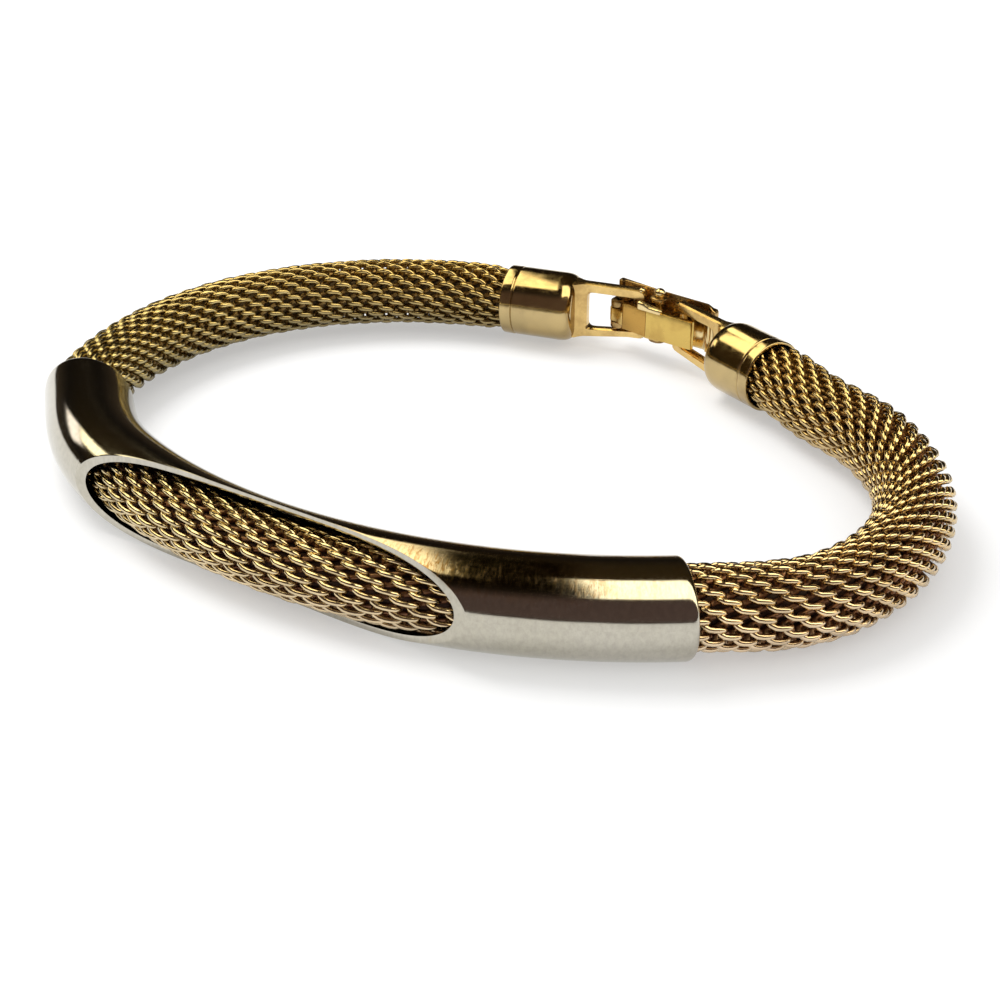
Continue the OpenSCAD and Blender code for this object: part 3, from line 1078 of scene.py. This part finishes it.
# %% The clasp's frame
CAP_RUN = 12.5 * MM  # from the rope's end to bar B
BAR_PITCH = 4.5 * MM  # from bar B to bar A
CLASP_TURN = 17.4 * DEG
CLASP_HEADING = END_HEADING + CLASP_TURN


def onward(start, length, heading):
    """The point of the plane that lies this far from start."""
    return start[0] + length * math.cos(heading), start[1] + length * math.sin(heading)


BAR_B = onward(END, CAP_RUN, END_HEADING)
CLASP = onward(BAR_B, BAR_PITCH / 2, CLASP_HEADING)
# From here on, the clasp's sizes are in mm in its own frame
PIN = (3.897, 0.182)
CATCH = (-0.2, -0.1)
KNUCKLE_R, EAR_R = 0.72, 0.8
print(f"clasp at {CLASP[0] / MM:.2f}, {CLASP[1] / MM:.2f} mm, "
      f"turned {CLASP_HEADING / DEG:.1f} degrees")

# %% Parts drawn out, round bars and balls


def drawn_out(name, corners, low, high, bevel_w=0.06, steps=5):
    """Solid over an outline with softened corners, from height low to high (mm)."""
    outline = soften(corners, steps)
    # Where two curves meet, one of the two points that coincide is dropped
    apart = np.hypot(*(outline - np.roll(outline, 1, axis=0)).T) > 0.01 * MM
    outline = outline[apart]
    deselect()
    bpy.ops.mesh.primitive_circle_add(vertices=len(outline), fill_type="NGON")
    o = added(name)
    put_points(o, np.column_stack([outline, np.full(len(outline), low * MM)]))
    edited(o, lambda: bpy.ops.mesh.extrude_region_move(
        TRANSFORM_OT_translate={"value": (0, 0, (high - low) * MM)}), face_outwards)
    bevelled(o, bevel_w)
    return o


def round_bar(name, at, radius, low, high):
    deselect()
    bpy.ops.mesh.primitive_cylinder_add(
        vertices=32, radius=radius * MM, depth=(high - low) * MM,
        location=(at[0] * MM, at[1] * MM, (low + high) / 2 * MM))
    o = added(name)
    apply_place(o)
    bevelled(o, 0.08, segments=3)
    return o


def ball(name, at, z, radius, flat):
    deselect()
    bpy.ops.mesh.primitive_uv_sphere_add(
        segments=24, ring_count=14, radius=radius * MM,
        location=(at[0] * MM, at[1] * MM, z * MM), scale=(1, 1, flat))
    o = added(name)
    apply_place(o)
    return o


def put_clasp(o, material, body, slot, *nodes, angle=35):
    put_cap(o, CLASP, CLASP_HEADING)
    clean_normals(o, angle)
    dress(o, material, body, slot, *nodes)


# %% Outer plate
PLATE_LOW, PLATE_HIGH = -1.85, 2.8
FOLD_AT, FOLD_TAPER = -4.4, 0.45  # the folded end narrows from here
plate = drawn_out("cover_plate", [
    (-5.70, -1.36, 0.2), (-5.67, -0.55, 0.25), (-5.15, -0.53, 0.25),
    (-4.95, -0.79, 0.1), (4.0, -0.79, 0.1), (4.15, -0.60, 0.25),
    (4.62, -0.62, 0.25), (4.65, -1.36, 0.2)], PLATE_LOW, PLATE_HIGH, 0.1)
rows = points(plate)
past_fold = np.clip(FOLD_AT * MM - rows[:, 0], 0, None)
rows[:, 2] -= np.sign(rows[:, 2]) * FOLD_TAPER * past_fold ** 2 / MM
put_points(plate, rows)
put_clasp(plate, GOLDS["cover"], "bracelet", "gold_clasp", "clasp_cover")

# %% Knuckles and ears of the outer plate
LUG_FOOT = -0.95  # inside the plate


def lug(name, at, half, cut, low, high, bevel_w):
    """A tongue that stands on the plate and is rounded about a pin."""
    x, y = at
    o = drawn_out(name, [
        (x - half, LUG_FOOT, 0), (x + half, LUG_FOOT, 0), (x + half, y + half, cut),
        (x - half, y + half, cut)], low, high, bevel_w, 9)
    put_clasp(o, GOLDS["cover"], "bracelet", "gold_clasp")


lug("knuckle_up", PIN, KNUCKLE_R, 0.7, 0.7, 1.3, 0.07)
lug("knuckle_down", PIN, KNUCKLE_R, 0.7, -1.3, -0.7, 0.07)
lug("ear_up", CATCH, EAR_R, 0.78, 2.1, 2.5, 0.1)
lug("ear_down", CATCH, EAR_R, 0.78, -1.75, -1.3, 0.1)

# %% Pins and beads
pin = round_bar("hinge_pin_bar", PIN, 0.35, -1.3, 1.3)
put_clasp(pin, GOLDS["clasp"], "bracelet", "gold_pin", "hinge_pin")
pin = round_bar("catch_pin_bar", CATCH, 0.34, -1.75, 2.85)
put_clasp(pin, GOLDS["clasp"], "bracelet", "gold_pin", "catch_pin")
for name, at, z, radius in (
        ("catch_pin_head", CATCH, 2.86, 0.5), ("loop_bead", (1.5, 0.2), 2.75, 0.3),
        ("stop_bead", (-2.3, 0.1), 1.55, 0.34)):
    head = ball(name, at, z, radius, flat=0.85)
    put_clasp(head, GOLDS["pale"], "bracelet", "gold_pin", angle=60)

# %% Lever
LEVER_T = 0.55
LEVER_LOW, LEVER_HIGH = -0.9, 1.7
FOLD_X, RISE = 0.1, 0.35  # where the lever steps inwards, and by how much
TIP, SHOULDER = -4.75, 2.877  # free end, and end at the hinge
y0 = 0.777  # the lever's outer side at the hinge, Y
y1 = y0 + LEVER_T
lever = drawn_out("lever_plate", [
    (FOLD_X + 0.02, y1 + RISE, 0.10), (TIP + 0.1, y1 + RISE, 0.18),
    (TIP, y0 + RISE + 0.12, 0.12), (TIP + 0.2, y0 + RISE, 0.1),
    (FOLD_X + 0.02, y0 + RISE, 0.05)], LEVER_LOW, LEVER_HIGH, 0.1)
put_clasp(lever, GOLDS["lever"], "lever", "gold_lever", "clasp_lever", angle=25)
shoulder = drawn_out("lever_shoulder", [
    (SHOULDER, y0 + 0.02, 0.05), (SHOULDER + 0.02, y1, 0.2),
    (FOLD_X, y1 + RISE - 0.02, 0.02), (FOLD_X, y0 + RISE, 0.02)],
    LEVER_LOW, LEVER_HIGH - 0.1, 0.08)
put_clasp(shoulder, GOLDS["shoulder"], "lever", "gold_lever", angle=25)

# %% Grip on the lever's upper edge
GRIP_LOW, GRIP_HIGH = LEVER_HIGH - 0.16, LEVER_HIGH + 0.62
WAIST_FROM, WAIST_L, WAIST = 0.5, 0.7, 0.38  # the grip's far half is lower
grip = drawn_out("lever_grip", [
    (1.1, y1 - 0.15, 0.25), (1.1, y1 + RISE + 0.10, 0.35), (0.1, y1 + RISE + 0.06, 0.3),
    (-1.45, y1 + RISE + 0.10, 0.3), (-1.5, y1 - 0.1, 0.25)],
    GRIP_LOW, GRIP_HIGH, 0.26, 7)
rows = points(grip)
height = 1 - WAIST * np.clip((WAIST_FROM * MM - rows[:, 0]) / (WAIST_L * MM), 0, 1)
rows[:, 2] = GRIP_LOW * MM + (rows[:, 2] - GRIP_LOW * MM) * height
put_points(grip, rows)
put_clasp(grip, GOLDS["pale"], "lever", "gold_lever", angle=50)

# %% Roll round the hinge pin, and tabs
ROLL_R = 0.71
pin_x, pin_y = PIN
roll = drawn_out("lever_roll", [
    (SHOULDER - 0.1, y0 + 0.06, 0), (SHOULDER - 0.1, y1 - 0.02, 0),
    (pin_x, pin_y + KNUCKLE_R, 0.5), (pin_x + ROLL_R, pin_y + ROLL_R, 0.7),
    (pin_x + ROLL_R, pin_y - ROLL_R, 0.7), (pin_x - ROLL_R, pin_y - ROLL_R, 0.7),
    (pin_x - ROLL_R, pin_y + 0.1, 0.15)], -0.65, 0.65, 0.05, 7)
put_clasp(roll, GOLDS["clasp"], "lever", "gold_lever")

for name, low, high in (("tab_up", 0.85, 1.29), ("tab_down", -1.29, -0.85)):
    tab = drawn_out(name, [
        (-1.0, -0.40, 0.12), (-0.66, -0.40, 0.12), (-0.66, 0.0, 0.2),
        (-0.45, 0.36, 0.2), (0.05, 0.36, 0.2), (0.26, 0.0, 0.2), (0.26, -0.40, 0.12),
        (1.2, -0.40, 0.25), (1.3, y0 + 0.30, 0.1), (-1.0, y0 + RISE + 0.06, 0.1)],
        low, high, 0.06)
    put_clasp(tab, GOLDS["clasp"], "lever", "gold_lever")

# %% Rolled lip of the outer plate, beside bar B
lip = drawn_out("cover_lip", [
    (-5.62, -0.9, 0), (-5.62, -0.12, 0.3), (-5.10, -0.06, 0.3), (-4.85, -0.50, 0.4),
    (-2.98, -0.56, 0.1), (-2.98, -0.9, 0)], -1.6, 1.3, 0.12)
put_clasp(lip, GOLDS["pale"], "bracelet", "gold_clasp")

# %% [markdown]
# ## Floor, sky and lights
#
# The photograph is a white one, yet the sleeve's top mirrors a dark room. Metal
# shows what stands above and before it. So the sky is dark for reflections, with
# a few warm panels, some of them slanted, and even and pale for everything else.
# Glowing planes would light the floor too, so the panels are part of the sky.

# %% Floor
FLOOR_SIZE, FLOOR_GLOW = 3, 0.36
FLOOR_GREY = (0.62, 0.62, 0.62, 1)
deselect()
bpy.ops.mesh.primitive_plane_add(size=FLOOR_SIZE)
floor = added("floor")
floor_white = bpy.data.materials.new("floor_white")
floor_white.use_nodes = True
floor_shader = floor_white.node_tree.nodes["Principled BSDF"]
floor_shader.inputs["Base Color"].default_value = FLOOR_GREY
floor_shader.inputs["Emission Color"].default_value = (1, 1, 1, 1)
floor_shader.inputs["Emission Strength"].default_value = FLOOR_GLOW
floor_shader.inputs["Roughness"].default_value = 0.9
floor.data.materials.append(floor_white)
print("floor", FLOOR_SIZE, "m wide")

# %% Sky
# Panels seen in the metal: angle over the bracelet from the front horizon (0
# degrees) to the back (180), share of the way to the right, colour, and how much
# the panel's sides slant
PANELS = [
    ((52, 94), (-0.04, 1.2), (3.2, 2.9, 2.1), 0),
    ((80, 129), (-0.78, -0.25), (3.0, 2.7, 1.8), 0.63),
    ((128, 146), (-1.00, -0.86), (3.0, 2.7, 1.8), 0.63),
    ((128, 146), (-0.42, -0.25), (3.0, 2.7, 1.8), 0.63),
    ((147, 160), (-0.84, -0.66), (2.2, 2.0, 1.8), 0),
]
SOFT_OVER, SOFT_ACROSS = 0.010, 0.02  # half widths of the panels' soft edges
ROOM = [  # angle over the bracelet, colour of the room behind the panels
    (0, (0.10, 0.08, 0.07)), (8, (0.12, 0.080, 0.070)), (44, (0.11, 0.072, 0.062)),
    (60, (0.022, 0.015, 0.010)), (96, (0.045, 0.026, 0.007)),
    (135, (0.032, 0.020, 0.006)), (160, (0.008, 0.006, 0.004)),
    (180, (0.05, 0.035, 0.02))]
PALE = 0.88  # strength of the even sky


def sky():
    world = bpy.data.worlds.new("studio")
    bpy.context.scene.world = world
    world.use_nodes = True
    tree = world.node_tree
    tree.nodes.clear()

    def value(operation, a, b):
        node = tree.nodes.new("ShaderNodeMath")
        node.operation = operation
        for socket, v in zip(node.inputs, (a, b)):
            if isinstance(v, bpy.types.NodeSocket):
                tree.links.new(v, socket)
            else:
                socket.default_value = v
        return node.outputs[0]

    def between(source, low, high, soft):
        return value("SUBTRACT", *(
            rising(tree, source, edge - soft, edge + soft, "SMOOTHSTEP")
            for edge in (low, high)))

    x, y, z = split(tree, tree.nodes.new("ShaderNodeTexCoord").outputs["Generated"])
    over = value("MULTIPLY", value("ARCTAN2", z, value("MULTIPLY", y, -1)), 1 / math.pi)
    colour = ramp(tree, over, [(angle / 180, shade) for angle, shade in ROOM])
    upright = value("SUBTRACT", over, 0.5)
    for (low, high), (left, right), shade, slant in PANELS:
        slid = value("SUBTRACT", x, value("MULTIPLY", slant, upright))
        inside = value("MULTIPLY", between(over, low / 180, high / 180, SOFT_OVER),
                       between(slid, left, right, SOFT_ACROSS))
        colour = mixed(tree, inside, colour, shade)
    mirror = tree.nodes.new("ShaderNodeBackground")
    tree.links.new(colour, mirror.inputs["Color"])
    pale = tree.nodes.new("ShaderNodeBackground")
    pale.inputs["Color"].default_value = (1, 1, 1, 1)
    pale.inputs["Strength"].default_value = PALE
    # Only what the camera sees in the metal is dark; light that comes by way of
    # the floor meets the pale sky
    ray = tree.nodes.new("ShaderNodeLightPath")
    direct = value("SUBTRACT", 1, value("MINIMUM", ray.outputs["Diffuse Depth"], 1))
    choose = tree.nodes.new("ShaderNodeMixShader")
    tree.links.new(value("MULTIPLY", ray.outputs["Is Glossy Ray"], direct),
                   choose.inputs["Fac"])
    tree.links.new(pale.outputs[0], choose.inputs[1])
    tree.links.new(mirror.outputs[0], choose.inputs[2])
    out = tree.nodes.new("ShaderNodeOutputWorld")
    tree.links.new(choose.outputs[0], out.inputs["Surface"])


sky()
print("sky with", len(PANELS), "panels")

# %% Lamp
# It gives the soft shade on the floor, and the metal doesn't mirror it
LAMP_PLACE = (-0.15, 0.12, 0.30)
LAMP_SIZE, LAMP_POWER = 0.22, 0.7

deselect()
bpy.ops.object.light_add(type="AREA", location=LAMP_PLACE)
lamp = bpy.context.active_object
lamp.data.shape = "DISK"
lamp.data.size = LAMP_SIZE
lamp.data.energy = LAMP_POWER
lamp.rotation_euler = (-lamp.location).to_track_quat("-Z", "Y").to_euler()
lamp.visible_glossy = False
print("lamp at", LAMP_PLACE)

bpy.context.scene.view_settings.view_transform = "Standard"
